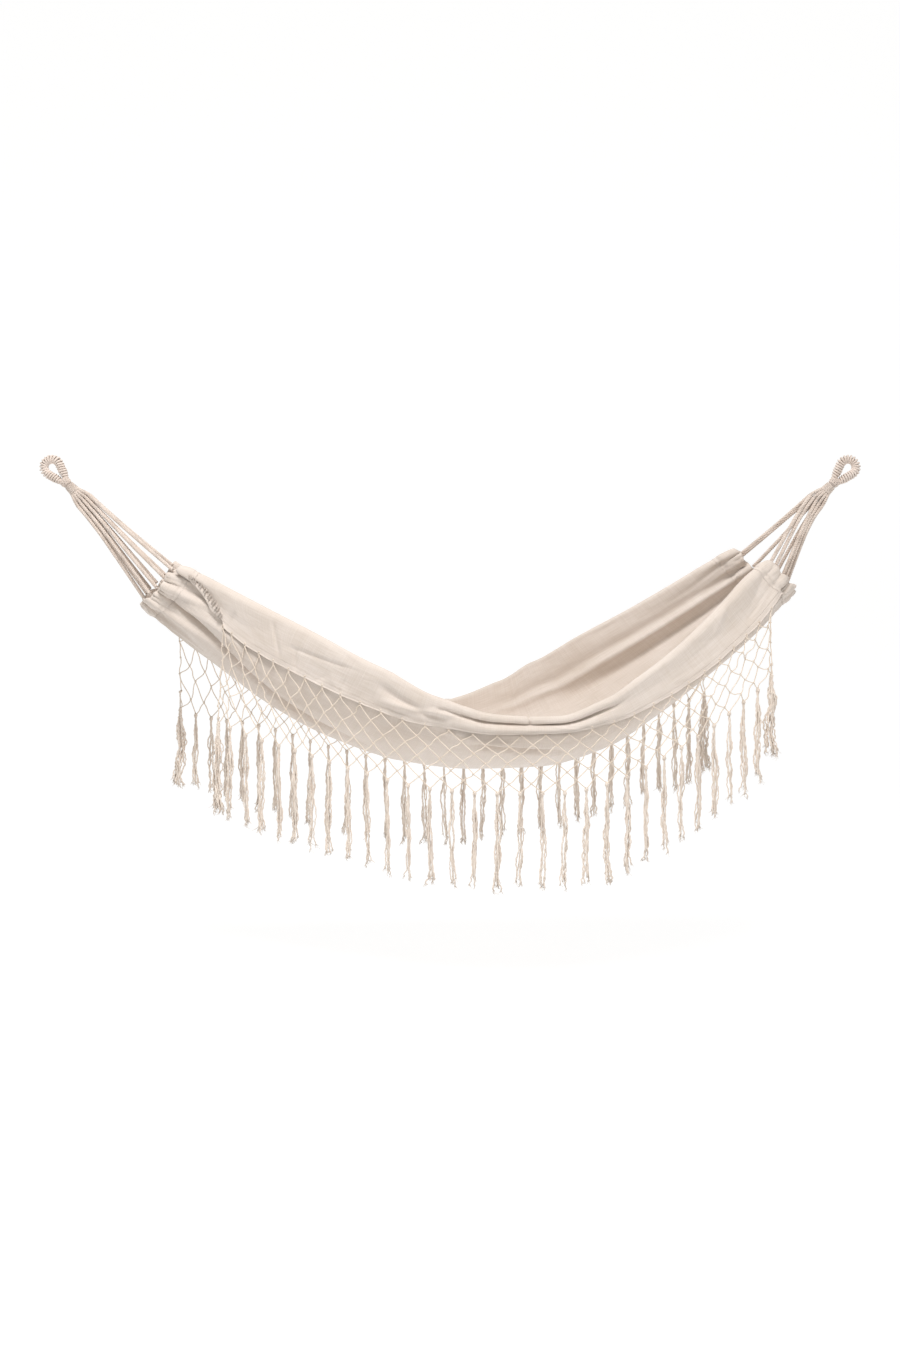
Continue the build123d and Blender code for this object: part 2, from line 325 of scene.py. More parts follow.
def canvas_material():
    """Plain-woven cotton: threads across and along, slubs, and soft uneven colour."""
    n = Nodes("cotton_canvas")
    uv = n.add("ShaderNodeTexCoord").outputs["UV"]
    place = n.add("ShaderNodeTexCoord").outputs["Object"]
    split = n.add("ShaderNodeSeparateXYZ", {0: uv})
    warp = n.math("SINE", n.math("MULTIPLY", split.outputs[0], THREADS_PER_METRE * math.pi))
    weft = n.math("SINE", n.math("MULTIPLY", split.outputs[1], THREADS_PER_METRE * math.pi))
    weave = n.math("MULTIPLY", warp, weft)
    slub_across = n.add("ShaderNodeMapping", {"Vector": uv, "Scale": (700.0, 14.0, 1.0)})
    slub_along = n.add("ShaderNodeMapping", {"Vector": uv, "Scale": (14.0, 700.0, 1.0)})
    slubs = n.math(
        "ADD",
        n.noise(slub_across.outputs[0], 1.0, 2.0),
        n.noise(slub_along.outputs[0], 1.0, 2.0),
    )
    clouds = n.noise(place, 6.0, 4.0)
    tone = n.math("ADD", n.math("MULTIPLY", slubs, 0.5), n.math("MULTIPLY", clouds, 0.5))
    factor = n.range(tone, 0.50, 0.98, 0.0, 1.0)
    colour = n.mix(factor, srgb(206, 192, 178), srgb(228, 218, 210))
    roughness = n.range(slubs, 0.6, 1.4, 0.82, 0.96)
    stretched = n.add("ShaderNodeMapping", {"Vector": uv, "Scale": (60.0, 22.0, 1.0)})
    wrinkles = n.math("MULTIPLY", n.noise(stretched.outputs[0], 1.0, 6.0), 6.0)
    height = n.math("ADD", n.math("MULTIPLY", weave, 0.5), n.math("MULTIPLY", slubs, 1.2))
    return n.finish(colour, roughness, n.math("ADD", height, wrinkles), 0.0004)


def yarn_material(name, dark, light, twist_pitch, depth):
    """Twisted cotton: fibres run round each strand on the skew, with painted shade in the twist's grooves.
    """
    n = Nodes(name)
    uv = n.add("ShaderNodeTexCoord").outputs["UV"]
    place = n.add("ShaderNodeTexCoord").outputs["Object"]
    split = n.add("ShaderNodeSeparateXYZ", {0: uv})
    turns = n.math("ADD", split.outputs[0], n.math("MULTIPLY", split.outputs[1], 1 / twist_pitch))
    ply_ridges_and_shade = n.math("SINE", n.math("MULTIPLY", turns, 4 * math.pi))
    fibres = n.noise(place, 900.0, 2.0)
    clouds = n.noise(place, 25.0, 3.0)
    # Painted shade: the twist's grooves, which are also low in the bump, are coloured darker than its
    # ridges.
    tone = n.math("ADD", n.math("MULTIPLY", ply_ridges_and_shade, 0.18), n.math("MULTIPLY", clouds, 0.7))
    tone = n.math("ADD", tone, n.math("MULTIPLY", fibres, 0.35))
    colour = n.mix(n.range(tone, 0.25, 0.8, 0.0, 1.0), dark, light)
    roughness = n.range(fibres, 0.3, 0.7, 0.8, 0.97)
    height = n.math("ADD", n.math("MULTIPLY", ply_ridges_and_shade, 0.5), fibres)
    return n.finish(colour, roughness, height, depth, sheen=0.3)


# For each yarn: dark and light colour, length of one twist and depth of its grooves, metres.
CANVAS = canvas_material()
ROPE = yarn_material("laid_cotton", srgb(200, 182, 167), srgb(232, 220, 210), 0.006, 0.0006)
WHIPPING = yarn_material("whipping_twine", srgb(202, 184, 170), srgb(236, 224, 215), 0.004, 0.0004)
TWINE = yarn_material("net_twine", srgb(220, 203, 184), srgb(244, 232, 218), 0.003, 0.0003)
YARN = yarn_material("tassel_yarn", srgb(224, 208, 193), srgb(247, 237, 226), 0.005, 0.0005)


# ---------------------------------------------------------------- harness cords
# Each taut cord's route from its crown to the cloth, metres.
LEFT_CORDS = [
    [(0.105, -0.005, -0.079), (0.152, -0.010, -0.122), (0.244, -0.030, -0.201), (0.331, -0.049, -0.271)],
    [(0.098, -0.005, -0.086), (0.143, -0.009, -0.131), (0.229, -0.029, -0.216), (0.310, -0.047, -0.292)],
    [(0.091, -0.005, -0.093), (0.135, -0.009, -0.140), (0.214, -0.026, -0.232), (0.287, -0.043, -0.315)],
    [(0.083, -0.005, -0.100), (0.126, -0.008, -0.149), (0.200, -0.020, -0.244), (0.268, -0.033, -0.332)],
    [(0.076, -0.005, -0.108), (0.118, -0.007, -0.155), (0.187, -0.012, -0.254), (0.250, -0.017, -0.345)],
    [(0.105, 0.005, -0.079), (0.149, 0.010, -0.120), (0.231, 0.029, -0.193), (0.309, 0.049, -0.258)],
    [(0.098, 0.005, -0.086), (0.139, 0.009, -0.128), (0.217, 0.027, -0.208), (0.290, 0.046, -0.279)],
    [(0.091, 0.005, -0.093), (0.131, 0.009, -0.137), (0.203, 0.025, -0.224), (0.269, 0.042, -0.303)],
    [(0.083, 0.005, -0.100), (0.124, 0.008, -0.146), (0.191, 0.020, -0.239), (0.254, 0.032, -0.323)],
    [(0.076, 0.005, -0.108), (0.116, 0.006, -0.154), (0.183, 0.011, -0.251), (0.244, 0.017, -0.340)],
]
RIGHT_CORDS = [
    [(1.976, -0.005, -0.079), (1.948, -0.010, -0.114), (1.903, -0.030, -0.186), (1.862, -0.050, -0.250)],
    [(1.983, -0.005, -0.086), (1.955, -0.009, -0.121), (1.912, -0.028, -0.195), (1.874, -0.048, -0.261)],
    [(1.990, -0.005, -0.093), (1.963, -0.009, -0.129), (1.923, -0.026, -0.206), (1.888, -0.043, -0.275)],
    [(1.998, -0.005, -0.100), (1.971, -0.008, -0.138), (1.935, -0.020, -0.218), (1.903, -0.033, -0.292)],
    [(2.005, -0.005, -0.108), (1.978, -0.007, -0.146), (1.944, -0.011, -0.230), (1.915, -0.016, -0.308)],
    [(1.976, 0.005, -0.079), (1.939, 0.010, -0.114), (1.870, 0.032, -0.178), (1.806, 0.054, -0.234)],
    [(1.983, 0.005, -0.086), (1.947, 0.010, -0.122), (1.881, 0.032, -0.187), (1.818, 0.054, -0.246)],
    [(1.990, 0.005, -0.093), (1.956, 0.010, -0.130), (1.898, 0.030, -0.201), (1.841, 0.051, -0.265)],
    [(1.998, 0.005, -0.100), (1.968, 0.009, -0.140), (1.925, 0.025, -0.224), (1.888, 0.041, -0.302)],
    [(2.005, 0.005, -0.108), (1.977, 0.007, -0.148), (1.941, 0.014, -0.235), (1.909, 0.023, -0.315)],
]
# Cords that lie against a neighbour for most of their way: number, neighbour, how closely.
LEFT_GROUPS = {6: (1, 0.25), 7: (2, 0.45), 8: (3, 0.3), 10: (9, 0.35)}
RIGHT_GROUPS = {7: (6, 0.7), 3: (4, 0.55), 5: (4, 0.35), 10: (5, 0.45)}
CORD_D = 0.009
CORD_LAY = 0.0165           # length of one full turn of its strands
CORD_TURN = 0.9             # each cord's strands start turned by this much more, radians
NECK_SQUEEZE = 0.86         # a cord's diameter in the crown, as a share


def grouped(routes, groups):
    """The routes with some of their middle points drawn towards a neighbouring cord."""
    out = [[np.array(place) for place in route] for route in routes]
    for number, (neighbour, share) in groups.items():
        for k in (1, 2, 3):
            towards = np.array(routes[neighbour - 1][k]) - out[number - 1][k]
            out[number - 1][k] = out[number - 1][k] + towards * share
    return [[tuple(map(float, place)) for place in route] for route in out]


def route_line(route):
    """Points along a route's smooth line."""
    data = bpy.data.curves.new("route", "CURVE")
    data.dimensions = "3D"
    data.resolution_u = 24
    spline = data.splines.new("NURBS")
    spline.points.add(len(route) - 1)
    for point, place in zip(spline.points, route):
        point.co = (*place, 1.0)
    spline.order_u = 3
    spline.use_endpoint_u = True
    holder = bpy.data.objects.new("route", data)
    mesh = bpy.data.meshes.new_from_object(holder)
    points = np.array([vertex.co[:] for vertex in mesh.vertices])
    bpy.data.objects.remove(holder)
    bpy.data.meshes.remove(mesh)
    bpy.data.curves.remove(data)
    return points


def add_harness_cord(name, route, number):
    """A laid cord on its route; returns the line through its middle."""
    line = route_line(route)
    mesh = Mesh()
    add_rope(mesh, line, CORD_D, CORD_LAY, phase=number * CORD_TURN)
    piece = mesh.build(f"{name}_laid", ROPE)
    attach(piece, "sling")
    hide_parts(name)
    return line


# ---------------------------------------------------------------- eyes, throats and crowns
HOOKS = {"left": np.array([0.0, 0.0, 0.0]), "right": np.array([2.081, 0.0, 0.0])}
# Directions of the eye's hole, the throat and the harness, below the horizontal.
PULL_ANGLE, THROAT_ANGLE, CROWN_ANGLE = (math.radians(a) for a in (42.0, 47.8, 44.8))
EYE_HOLE_R, WHIPPING_R, CORE_R = 0.009, 0.012, 0.006
# An arm's end along and across the eye, and the throat's centre, from the round end's middle.
ARM_END, ARM_GAP, THROAT_REACH, THROAT_R = 0.048, 0.0066, 0.053, 0.014
WHIPPING_PITCH, WHIPPING_TWINE_R = 0.0064, 0.0028
KNIT_STRANDS = 11           # strands round the throat each way
BINDING_START, BINDING_PITCH, BINDING_TURNS = 0.0113, 0.0031, 7     # round the crown's neck
SIDEWAYS = np.array([0.0, 1.0, 0.0])


def below_horizontal(side, angle):
    """Unit vector from a hook towards the bed; side is +1 at the left end."""
    return np.array([side * math.cos(angle), 0.0, -math.sin(angle)])


def eye_line(eye, to_throat):
    """The line of an eye's rope from the throat round the hook and back, evenly spaced,
    and the direction across the drop."""
    across = np.cross(to_throat, SIDEWAYS)
    loop_r = EYE_HOLE_R + WHIPPING_R
    angle = math.acos(loop_r / math.hypot(ARM_END, ARM_GAP)) + math.atan2(ARM_GAP, ARM_END)
    turn = np.linspace(angle, 2 * math.pi - angle, 90)
    arc = np.stack([loop_r * np.cos(turn), loop_r * np.sin(turn)], axis=1)
    ends = np.array([[ARM_END, ARM_GAP], [ARM_END, -ARM_GAP]])
    arms = [ends[0] + (arc[0] - ends[0]) * np.linspace(0, 1, 30)[:-1, None]]
    arms.append(arc[-1] + (ends[1] - arc[-1]) * np.linspace(0, 1, 30)[1:, None])
    flat = np.concatenate([arms[0], arc, arms[1]])
    line = eye + flat[:, :1] * to_throat + flat[:, 1:] * across
    return resampled(line, 0.0006), across


def add_end(name, side):
    """The eye with its laid core and whipping, and the throat; returns the throat's centre."""
    hook = HOOKS[name]
    eye = hook + below_horizontal(side, PULL_ANGLE) * EYE_HOLE_R
    to_throat = below_horizontal(side, THROAT_ANGLE)
    throat = eye + to_throat * THROAT_REACH
    line, across = eye_line(eye, to_throat)

    core = Mesh()
    add_rope(core, line[::4], 2 * CORE_R, 0.034)
    core = core.build(f"{name}_eye_laid_core", ROPE)
    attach(core, "hangers")
    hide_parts(f"{name}_eye_core")

    # The whipping: close turns that thin where the two arms squeeze together.
    from_middle = np.abs((line - eye) @ across)
    beside_throat = (line - eye) @ to_throat
    outer = np.where(beside_throat > 0.006, np.minimum(WHIPPING_R, from_middle + 0.0002), WHIPPING_R)
    outer = np.convolve(np.pad(outer, 12, "edge"), np.ones(25) / 25, "valid")
    along = lengths_along(line)
    tangent = unit(np.gradient(line, axis=0))
    outward = np.cross(tangent, SIDEWAYS)
    turn = 2 * math.pi * along / WHIPPING_PITCH
    uneven = 0.00018 * np.sin(turn * 0.37) + 0.00012 * np.sin(turn * 0.83 + 1)
    fine = np.linspace(0, along[-1], int(along[-1] / WHIPPING_PITCH * 26))
    radius = np.interp(fine, along, outer - WHIPPING_TWINE_R + uneven)[:, None]
    turn = (2 * math.pi * fine / WHIPPING_PITCH)[:, None]
    around = read_along(fine, along, outward) * np.cos(turn) + SIDEWAYS * np.sin(turn)
    helix = read_along(fine, along, line) + radius * around
    whipping = Mesh()
    add_tube(whipping, helix, WHIPPING_TWINE_R, 7)
    whipping = whipping.build(f"{name}_whipping_turns", WHIPPING)
    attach(whipping, "hangers")
    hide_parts(f"{name}_eye_whipping")

    # The throat: a ball of twine worked both ways round, like a knitted sleeve.
    ball = Mesh()
    latitude = np.linspace(-math.pi / 2, math.pi / 2, 17)
    rings = np.linspace(0, 2 * math.pi, 33)[:-1]
    inner = THROAT_R - 0.0042
    flat = inner * np.cos(latitude)[:, None]
    points = (
        throat
        + to_throat * (inner * np.sin(latitude))[:, None, None]
        + across * (flat * np.cos(rings))[..., None]
        + SIDEWAYS * (flat * np.sin(rings))[..., None]
    )
    uv = np.stack(np.broadcast_arrays(rings / 6.3, latitude[:, None] * 0.01), axis=-1)
    ball.grid(points, uv, closed_across=True)
    lift = np.linspace(-0.94, 0.94, 60)
    reach = THROAT_R - 0.0017
    for direction in (-1, 1):
        for k in range(KNIT_STRANDS):
            angle = 2 * math.pi * k / KNIT_STRANDS + direction * 1.5 * lift
            ring = reach * np.sqrt(1 - lift ** 2)
            wave = 1 + 0.035 * direction * np.sin(KNIT_STRANDS * angle)
            strand = (
                throat
                + to_throat * (reach * lift)[:, None]
                + across * (ring * wave * np.cos(angle))[:, None]
                + SIDEWAYS * (ring * wave * np.sin(angle))[:, None]
            )
            add_tube(ball, strand, 0.0015, 6)
    ball = ball.build(f"{name}_throat_knit", WHIPPING)
    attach(ball, "hangers")
    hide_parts(f"{name}_throat_seizing")
    return throat


def add_crown(name, side, throat, lines):
    """The ten ropes of a harness drawn together towards the throat, and their binding."""
    to_bed = below_horizontal(side, CROWN_ANGLE)
    across = np.cross(to_bed, SIDEWAYS)
    crown = Mesh()
    for k, line in enumerate(lines):
        layer, place = (-1 if k < 5 else 1), (k % 5 - 2) / 2
        neck = throat + to_bed * 0.0155 + across * (0.0068 * place) * -side
        neck = neck + SIDEWAYS * layer * 0.0045 * (1.2 - 0.5 * abs(place))
        start, ahead = line[0], unit(line[3] - line[0])
        t = np.linspace(0, 1, 40)[:, None]
        reach = np.linalg.norm(start - neck)
        a, b = neck + to_bed * reach * 0.35, start - ahead * reach * 0.35
        path = (
            (1 - t) ** 3 * neck + 3 * (1 - t) ** 2 * t * a + 3 * (1 - t) * t ** 2 * b
            + t ** 3 * (start + ahead * 0.003)
        )
        add_rope(crown, path, CORD_D * NECK_SQUEEZE, CORD_LAY, phase=k * CORD_TURN)
    for k in range(BINDING_TURNS):
        centre = throat + to_bed * (BINDING_START + BINDING_PITCH * k)
        wide, thick = 0.0114 + 0.0003 * k, 0.0114 - 0.0003 * k
        angle = np.linspace(0, 2 * math.pi * 1.02, 60)[:, None]
        turn = centre + across * wide * np.cos(angle) + SIDEWAYS * thick * np.sin(angle)
        add_tube(crown, turn + to_bed * BINDING_PITCH * angle / 6.3, 0.0016, 6)
    crown = crown.build(f"{name}_crown_ropes", ROPE)
    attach(crown, "sling")
    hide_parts(f"{name}_harness_crown")


# ---------------------------------------------------------------- the cloth's shape
# Cross-sections from the left hem to the right one: x and z of the lowest point, slope in
# degrees, half width, then heights of the front fold and edge and the rear fold and edge.
SECTIONS = np.array([
    (238, -359, -43, 54, 145, 112, 126, 62),
    (273, -392, -42, 62, 163, 116, 128, 50),
    (420, -508, -38, 116, 206, 104, 128, 52),
    (560, -606, -32, 162, 231, 120, 130, 64),
    (720, -698, -25, 206, 239, 136, 134, 80),
    (900, -763, -14, 238, 212, 138, 138, 94),
    (1080, -785, -2, 250, 172, 126, 146, 104),
    (1260, -779, 7, 247, 152, 114, 201, 142),
    (1420, -737, 23, 230, 144, 86, 248, 160),
    (1560, -654, 36, 200, 134, 54, 259, 152),
    (1700, -543, 39, 160, 127, 34, 234, 128),
    (1830, -431, 43, 110, 130, 30, 210, 104),
    (1892, -365, 47, 78, 118, 30, 188, 92),
    (1925, -328, 49, 56, 104, 30, 170, 92),
], float)
SECTIONS[:, [0, 1, 3, 4, 5, 6, 7]] /= 1000
SKEW = math.radians(14)
FOLD_R = 0.012
WALL, FOLDED = 0.70, 0.80       # shares of a side that are its wall, and its wall and fold
END_LEFT, END_RIGHT = 0.238, 1.925      # x of the cloth's two ends
HEM_LEFT, HEM_RIGHT = 0.273, 1.892      # x where its hems meet the single cloth
HEM_OVERLAP = 0.004
FLAP_GAP = 0.006                # left between a flap's edge and the wall behind it


def section_frame(x):
    """At each x: the lowest point, the directions across and up, and the section's sizes."""
    values = [smooth_between(SECTIONS[:, 0], SECTIONS[:, k], x) for k in range(1, 8)]
    z, slope, half, *heights = values
    slope = np.radians(slope)
    along = np.stack([np.cos(slope), 0 * slope, np.sin(slope)], axis=-1)
    across = np.array([0.0, 1.0, 0.0]) * math.cos(SKEW) - along * math.sin(SKEW)
    up = np.stack([-np.sin(slope), 0 * slope, np.cos(slope)], axis=-1)
    return np.stack([x, 0 * x, z], axis=-1), across, up, half, heights


def bare_cloth(X, T):
    """The cloth without its creases, at each x and each t across it: -1 is the front edge,
    0 the lowest point and 1 the rear edge."""
    origin, across, up, half, (front, front_edge, rear, rear_edge) = section_frame(X)
    side, a = np.sign(T), np.abs(T)
    top = np.where(side < 0, front, rear)
    edge = np.where(side < 0, front_edge, rear_edge)
    springing = top - FOLD_R
    wall = np.clip(a / WALL, 0, 1) * math.pi / 2
    px, py = (half - FOLD_R) * np.sin(wall), springing * (1 - np.cos(wall))
    # At the right the rear wall is drawn straighter, leaning back from the bottom to its fold.
    straight = np.where(side > 0, 0.32, 0.0) * ramp(X, 1.10, 1.36)
    share = np.clip(a / WALL, 0, 1)
    px += straight * ((half - FOLD_R) * share - px)
    py += straight * (springing * share - py)
    fold = np.clip((a - WALL) / (FOLDED - WALL), 0, 1) * math.pi
    px = np.where(a > WALL, half - FOLD_R * np.cos(fold), px)
    py = np.where(a > WALL, springing + FOLD_R * np.sin(fold), py)
    flap = np.clip((a - FOLDED) / (1 - FOLDED), 0, 1)
    px = np.where(a > FOLDED, half + FOLD_R, px)
    py = np.where(a > FOLDED, springing + (edge - springing) * flap, py)
    # The wall bellies out under the flap's edge, and the flap leans in to it.
    turn = np.arccos(np.clip(1 - edge / springing, 0, 1))
    gap = half + FOLD_R - (half - FOLD_R) * np.sin(turn) - FLAP_GAP
    level = turn * 2 / math.pi * WALL - 0.05
    swell = bump(a, level, 0.16) * (1 - ramp(a, 0.58, WALL))
    lean = np.minimum(0.46 * gap, 0.15 * (springing - edge)) * np.where(side < 0, 1.0, 0.25)
    px = px + np.where(side < 0, gap - lean, 0.2 * gap) * swell - lean * flap ** 1.2
    px = (px * side)[..., None]
    return origin + px * across + py[..., None] * up


def grid_normals(points):
    """Normals of a grid, towards the inside of the trough and outside on the flaps."""
    along = np.gradient(points, axis=0)
    across = np.gradient(points, axis=1)
    return unit(np.cross(along, across))


def crease(X, T, start, end, width, depth, fade=0.25):
    """A long straight fold from one (x, t) to another: how far it lifts the cloth."""
    scale = np.array([1.0, 0.42])         # metres for one unit of x and of t
    a, b = np.array(start) * scale, np.array(end) * scale
    run = b - a
    length = np.linalg.norm(run)
    px, pt = X * scale[0] - a[0], T * scale[1] - a[1]
    place = (px * run[0] + pt * run[1]) / length ** 2
    off = (px * run[1] - pt * run[0]) / length
    taper = ramp(place, -0.02, fade) * (1 - ramp(place, 1 - fade, 1.02))
    return depth * taper * np.exp(-((off / width) ** 2))


def gathers(X, T):
    """Puckers at the hems: rounded ridges with sharp valleys that die away along the cloth."""
    lift = 0 * X
    for end_x, direction, reach in ((END_LEFT, 1, 0.15), (END_RIGHT, -1, 0.10)):
        inward = (X - end_x) * direction
        wobble = 0.35 * np.sin(5 * T + 1.3) + 0.25 * np.sin(11 * T) + 0.5 * np.sin(inward * 11)
        deep = np.abs(np.sin(math.pi * (7.3 * T + wobble)))
        fine = np.abs(np.sin(math.pi * (19 * T + 0.7 + 1.6 * wobble + 4 * inward)))
        fall = np.exp(-np.clip(inward, 0, 9) / reach)
        size = 1 - 0.35 * bump(np.abs(T), 0.75, 0.06)
        lift += (0.011 * (deep - 0.6) * fall + 0.0062 * (fine - 0.6) * fall ** 3) * size
    return lift


def unevenness(X, T):
    """Broad unevenness of a hung cloth, and faint pulls that run along it."""
    rng = np.random.default_rng(SEED)
    lift = 0 * X
    for _ in range(26):
        kx, kt = rng.uniform(1.5, 7), rng.uniform(6, 30)
        phase, size = rng.uniform(0, 6.28), rng.uniform(0.2, 1.0)
        lift += 0.0006 * size * np.sin(kx * X + kt * T + phase)
    for _ in range(70):
        cx, ct = rng.uniform(0.3, 1.9), rng.uniform(-1, 1)
        run, slant = rng.uniform(0.05, 0.22), rng.uniform(-0.25, 0.25)
        depth = rng.uniform(0.0006, 0.0020) * rng.choice([-1, 1])
        lift += crease(X, T, (cx, ct), (cx + run, ct + slant), rng.uniform(0.003, 0.007), depth)
    return lift


def shaped_cloth(x, t):
    """The cloth with all its folds."""
    X, T = (grid.astype(float) for grid in np.meshgrid(x, t, indexing="ij"))
    # The front flap's left end is drawn back along the cloth.
    X = X + 0.115 * ramp(-T, 0.79, 1.02) * (1 - ramp(X, 0.25, 0.62))
    wavy = 0.0035 * (np.sin(14 * T + 1) + 0.6 * np.sin(33 * T))
    from_left, from_right = np.abs(X - END_LEFT), np.abs(X - END_RIGHT)
    X = X + wavy * (np.exp(-from_left / 0.08) - np.exp(-from_right / 0.08))
    points = bare_cloth(X, T)
    normals = grid_normals(points)
    lift = gathers(X, T) + unevenness(X, T)

    # Rear wall at the right: long soft folds between the ridge and the floor.
    ends = ramp(X, 1.16, 1.40) * (1 - 0.45 * ramp(X, 1.80, 1.90))
    for place, width, height in (
        (0.660, 0.040, 0.003), (0.580, 0.028, -0.007), (0.530, 0.018, 0.008), (0.460, 0.040, -0.024)
    ):
        reach = 1.0 if place > 0.5 else ramp(X, 1.38, 1.62)
        lift += height * ends * reach * bump(T, place, width)
    # Front belly at the left: a roll along the bottom that opens out along the cloth.
    roll = 1 - ramp(X, 0.50, 0.90)
    seat = -(0.43 - 0.19 * ramp(X, 0.26, 0.62))
    lift += roll * (0.022 * bump(T, seat, 0.016) - 0.010 * bump(T, seat + 0.10, 0.06))
    lift -= 0.007 * roll * bump(T, seat - 0.09, 0.045)
    # Under the front flap in the middle: the belly's slack lies in a few short folds.
    lift += crease(X, T, (1.02, -0.52), (1.30, -0.41), 0.008, 0.017)
    lift += crease(X, T, (1.14, -0.44), (1.28, -0.45), 0.005, 0.014)
    lift += crease(X, T, (0.92, -0.56), (1.16, -0.52), 0.012, -0.008)
    # Creases pulled across the left flap.
    for start, end, width, depth in (
        ((0.45, -0.80), (0.52, -0.98), 0.0035, -0.0032),
        ((0.50, -0.90), (0.68, -0.84), 0.0035, -0.0036),
        ((0.53, -0.88), (0.56, -1.00), 0.0035, -0.0030),
        ((0.66, -0.90), (0.665, -1.0), 0.0030, -0.0024),
        ((0.62, -0.94), (0.60, -1.0), 0.0030, -0.0024),
        ((0.38, -0.86), (0.39, -1.0), 0.0040, -0.0018),
        ((0.72, -0.86), (0.96, -0.93), 0.0100, -0.0070),
        ((0.74, -0.95), (0.98, -0.86), 0.0080, 0.0060),
    ):
        lift += crease(X, T, start, end, width, depth)
    # The folded long edges: the middle of the front one lies in two rolls with a groove.
    rolls = ramp(X, 0.86, 1.04) * (1 - ramp(X, 1.36, 1.50))
    lift -= 0.014 * rolls * (1 - 0.5 * bump(X, 1.176, 0.03)) * bump(T, -0.850, 0.017)
    lift += 0.0045 * rolls * (bump(T, -0.77, 0.035) + bump(T, -0.93, 0.05))
    seam = bump(X, 1.176, 0.004) * ramp(-T, 0.66, 0.72) * (1 - ramp(-T, 0.83, 0.87))
    lift -= 0.006 * seam
    # The flaps' edges curl and ripple.
    A = np.abs(T)
    lift -= 0.0013 * np.sin(2 * math.pi * X / 0.057) * ramp(A, 0.94, 1.0)
    lift += 0.0020 * ramp(A, 0.80, 1.0) * np.sin(9 * X + 2 * T)
    return points + normals * lift[..., None]


# ---------------------------------------------------------------- cloth pieces
def spaced_across():
    """Places across the cloth, close together at the folds and the stitched edges."""
    wall = np.linspace(0, WALL, 62)[:-1]
    fold = np.linspace(WALL, FOLDED, 13)[:-1]
    flap = np.concatenate([np.linspace(FOLDED, 0.97, 20)[:-1], [0.97, 0.975, 0.982, 0.991, 1.0]])
    side = np.concatenate([wall, fold, flap])
    return np.concatenate([-side[::-1], side[1:]])


def add_cloth(mesh, points, half_thickness):
    """A sheet with both faces and its rim closed, half_thickness for each point."""
    normals = grid_normals(points)
    rows, columns = points.shape[:2]
    across = lengths_along(points[rows // 2])
    along = lengths_along(points[:, columns // 2])
    uv = np.stack(np.broadcast_arrays(across[None], along[:, None]), axis=-1)
    lift = normals * half_thickness[..., None]
    over = mesh.grid((points + lift)[:, ::-1], uv[:, ::-1])
    under = mesh.grid(points - lift, uv)
    over = over[:, ::-1]
    faces = []
    for upper, lower in (
        (over[0], under[0]), (over[-1][::-1], under[-1][::-1]),
        (over[::-1, 0], under[::-1, 0]), (over[:, -1], under[:, -1]),
    ):
        for k in range(len(upper) - 1):
            faces.append((upper[k], lower[k], lower[k + 1], upper[k + 1]))
    mesh.faces.extend(faces)
    return normals


def add_stitches(mesh, line, normals, lift, step=0.0062, length=0.0040, radius=0.00042):
    """A row of short straight stitches along a line that lies on the cloth."""
    along = lengths_along(line)
    for start in np.arange(0.002, along[-1] - length, step):
        place = np.linspace(start, start + length, 4)
        stitch = read_along(place, along, line)
        out = read_along(place, along, normals)
        arch = lift + 0.0003 * np.sin(np.linspace(0, math.pi, 4)) - 0.0002
        add_tube(mesh, stitch + out * arch[:, None], radius, 4)


def add_bed():
    """The bed's cloth between its hems, and the lines of its front and rear edges."""
    t = spaced_across()
    x = np.linspace(HEM_LEFT + 0.0003, HEM_RIGHT - 0.0003, 392)
    points = shaped_cloth(x, t)
    half = np.broadcast_to(0.0006 + 0.0008 * ramp(np.abs(t), 0.970, 0.976), (len(x), len(t)))
    mesh = Mesh()
    normals = add_cloth(mesh, points, half)
    for column in (4, len(t) - 5):
        add_stitches(mesh, points[:, column], normals[:, column], 0.0015)
    bed = mesh.build("canvas_bed", CANVAS)
    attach(bed, "sling")
    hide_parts("bed_cloth")
    return bed, points[:, 0], points[:, -1]


def add_hem(name, outer_x, inner_x):
    """The end of the cloth turned over round the harness cords and stitched down."""
    t = spaced_across()[4:-4]
    share = np.sin(np.linspace(0, 1, 22) * math.pi / 2)
    x = inner_x + (outer_x - inner_x) * share
    if x[0] > x[-1]:
        x, share = x[::-1], share[::-1]
    points = shaped_cloth(x, t)
    swell = 0.0014 + 0.0040 * ramp(share, 0.02, 0.45) * np.sqrt(np.clip(1 - share ** 6, 0.01, 1))
    pucker = 1 + 0.30 * np.abs(np.sin(math.pi * (23 * t + np.sin(9 * t)))) - 0.15
    half = swell[:, None] * pucker[None]
    half[0 if outer_x < inner_x else -1] = 0.0009
    mesh = Mesh()
    normals = add_cloth(mesh, points, half)
    row = int(np.argmin(np.abs(share - 0.22)))
    for side in (1, -1):
        add_stitches(mesh, points[row], normals[row] * side, half[row].mean() + 0.0002)
    if name == "left":
        # Twisted string laced through the drawn-back end of the front flap.
        flap = (t < -0.79) & (t > -0.985)
        line = resampled(points[row, flap] + normals[row, flap] * 0.003, 0.002)
        _, side, up = frames_along(line)
        turn = (2 * math.pi * lengths_along(line) / 0.019)[:, None]
        for start, reach in ((0.0, 0.0052), (2.4, 0.0066)):
            loops = line + (side * np.cos(turn + start) + up * np.sin(turn + start)) * reach
            add_rope(mesh, loops, 0.0040, 0.010, strands=2, sides=6)
    hem = mesh.build(f"{name}_stitched_hem", CANVAS)
    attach(hem, "sling")
    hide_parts(f"{name}_end_hem")
    return hem


# ---------------------------------------------------------------- nets
NET_COLUMNS, NET_ROWS = 31, 6
NET_SWELL, NET_DROP, NET_SWAY, NET_START = 0.26, 0.136, 0.018, 0.004
TWINE_R = 0.00140
